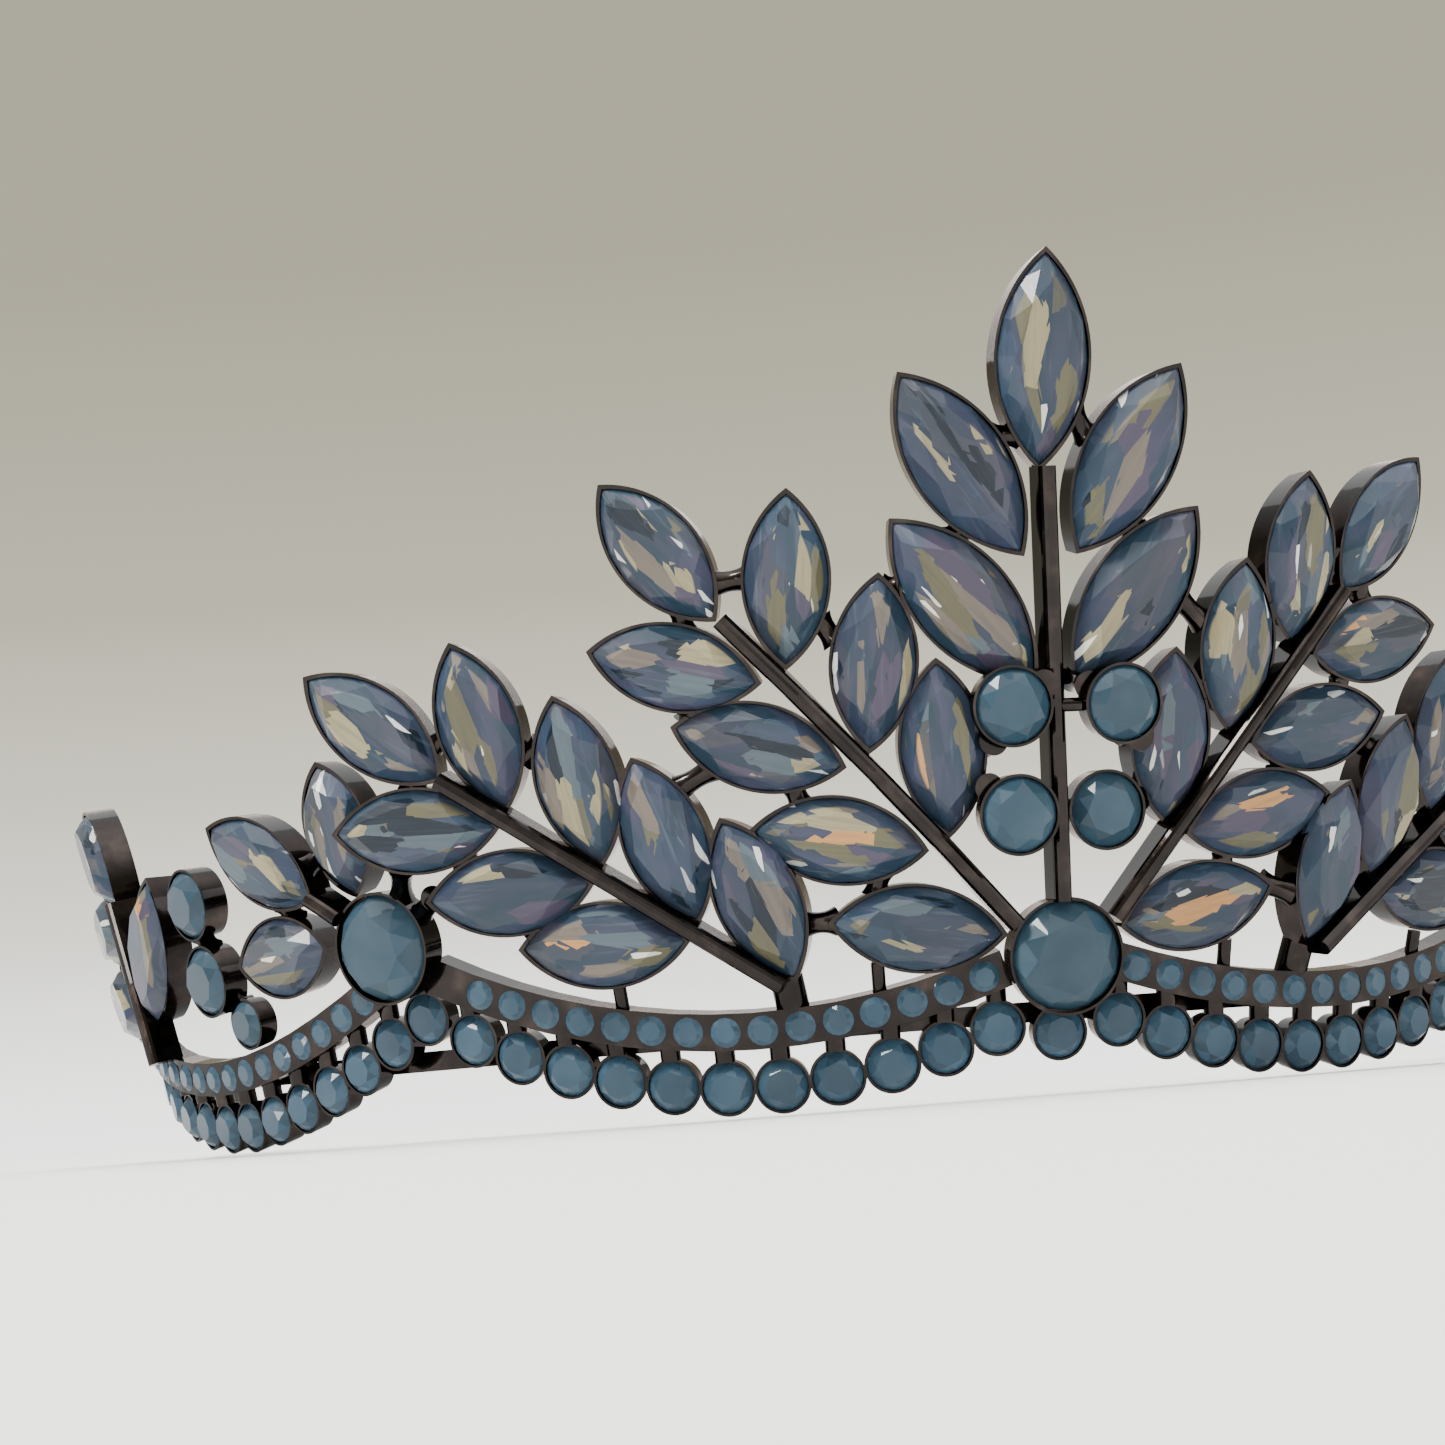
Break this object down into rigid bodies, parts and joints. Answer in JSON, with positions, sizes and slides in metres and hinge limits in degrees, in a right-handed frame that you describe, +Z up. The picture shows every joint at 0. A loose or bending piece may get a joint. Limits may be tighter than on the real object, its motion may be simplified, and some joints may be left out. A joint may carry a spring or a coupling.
{
  "type": "tiara",
  "caption": "Rigid bridal tiara: open-backed collets with opal leaf and round stones in leafy sprays on a scalloped, curved base with end loops.",
  "frame": {"origin": "centre of the bounding box's bottom face: the plane the lowest collets stand on", "axes": "+Z up, -Y out of the decorated front, +X to the viewer's right"},
  "size_m": [0.1374, 0.085, 0.0596],
  "materials": {
    "gunmetal": "blackened, polished plate with a brown cast",
    "opal_leaf": "faceted milky grey-blue opal glass, foiled back",
    "opal_round": "faceted milky teal-blue opal glass",
    "opal_small": "small faceted opal glass"
  },
  "bodies": {
    "root": {"band_front_left": "gunmetal", "band_front_right": "gunmetal", "band_side_left": "gunmetal", "band_side_right": "gunmetal", "band_stones_front_left": "opal_small", "band_stones_front_right": "opal_small", "band_stones_side_left": "opal_small", "band_stones_side_right": "opal_small", "bridges_left": "gunmetal", "bridges_right": "gunmetal", "center_collet": "gunmetal", "center_leaf_cups": "gunmetal", "center_leaf_stones": "opal_leaf", "center_round_cups": "gunmetal", "center_round_stones": "opal_round", "center_stem": "gunmetal", "center_top_cup": "gunmetal", "chain_center": "gunmetal", "chain_center_stone": "opal_round", "chain_front_left": "gunmetal", "chain_front_right": "gunmetal", "chain_side_left": "gunmetal", "chain_side_right": "gunmetal", "chain_stones_front_left": "opal_round", "chain_stones_front_right": "opal_round", "chain_stones_side_left": "opal_round", "chain_stones_side_right": "opal_round", "end_loop_left": "gunmetal", "end_loop_right": "gunmetal", "end_spray_cups_left": "gunmetal", "end_spray_cups_right": "gunmetal", "end_spray_stem_left": "gunmetal", "end_spray_stem_right": "gunmetal", "end_spray_stones_left": "opal_leaf", "end_spray_stones_right": "opal_leaf", "headband_strip": "gunmetal", "inner_spray_cups_left": "gunmetal", "inner_spray_cups_right": "gunmetal", "inner_spray_stem_left": "gunmetal", "inner_spray_stem_right": "gunmetal", "inner_spray_stones_left": "opal_leaf", "inner_spray_stones_right": "opal_leaf", "large_stones": "opal_round", "outer_spray_cups_left": "gunmetal", "outer_spray_cups_right": "gunmetal", "outer_spray_stem_left": "gunmetal", "outer_spray_stem_right": "gunmetal", "outer_spray_stones_left": "opal_leaf", "outer_spray_stones_right": "opal_leaf", "side_collet_left": "gunmetal", "side_collet_right": "gunmetal", "side_round_cups_left": "gunmetal", "side_round_cups_right": "gunmetal", "side_round_stones_left": "opal_round", "side_round_stones_right": "opal_round", "side_spray_cups_left": "gunmetal", "side_spray_cups_right": "gunmetal", "side_spray_stones_left": "opal_leaf", "side_spray_stones_right": "opal_leaf"}
  },
  "joints": []
}
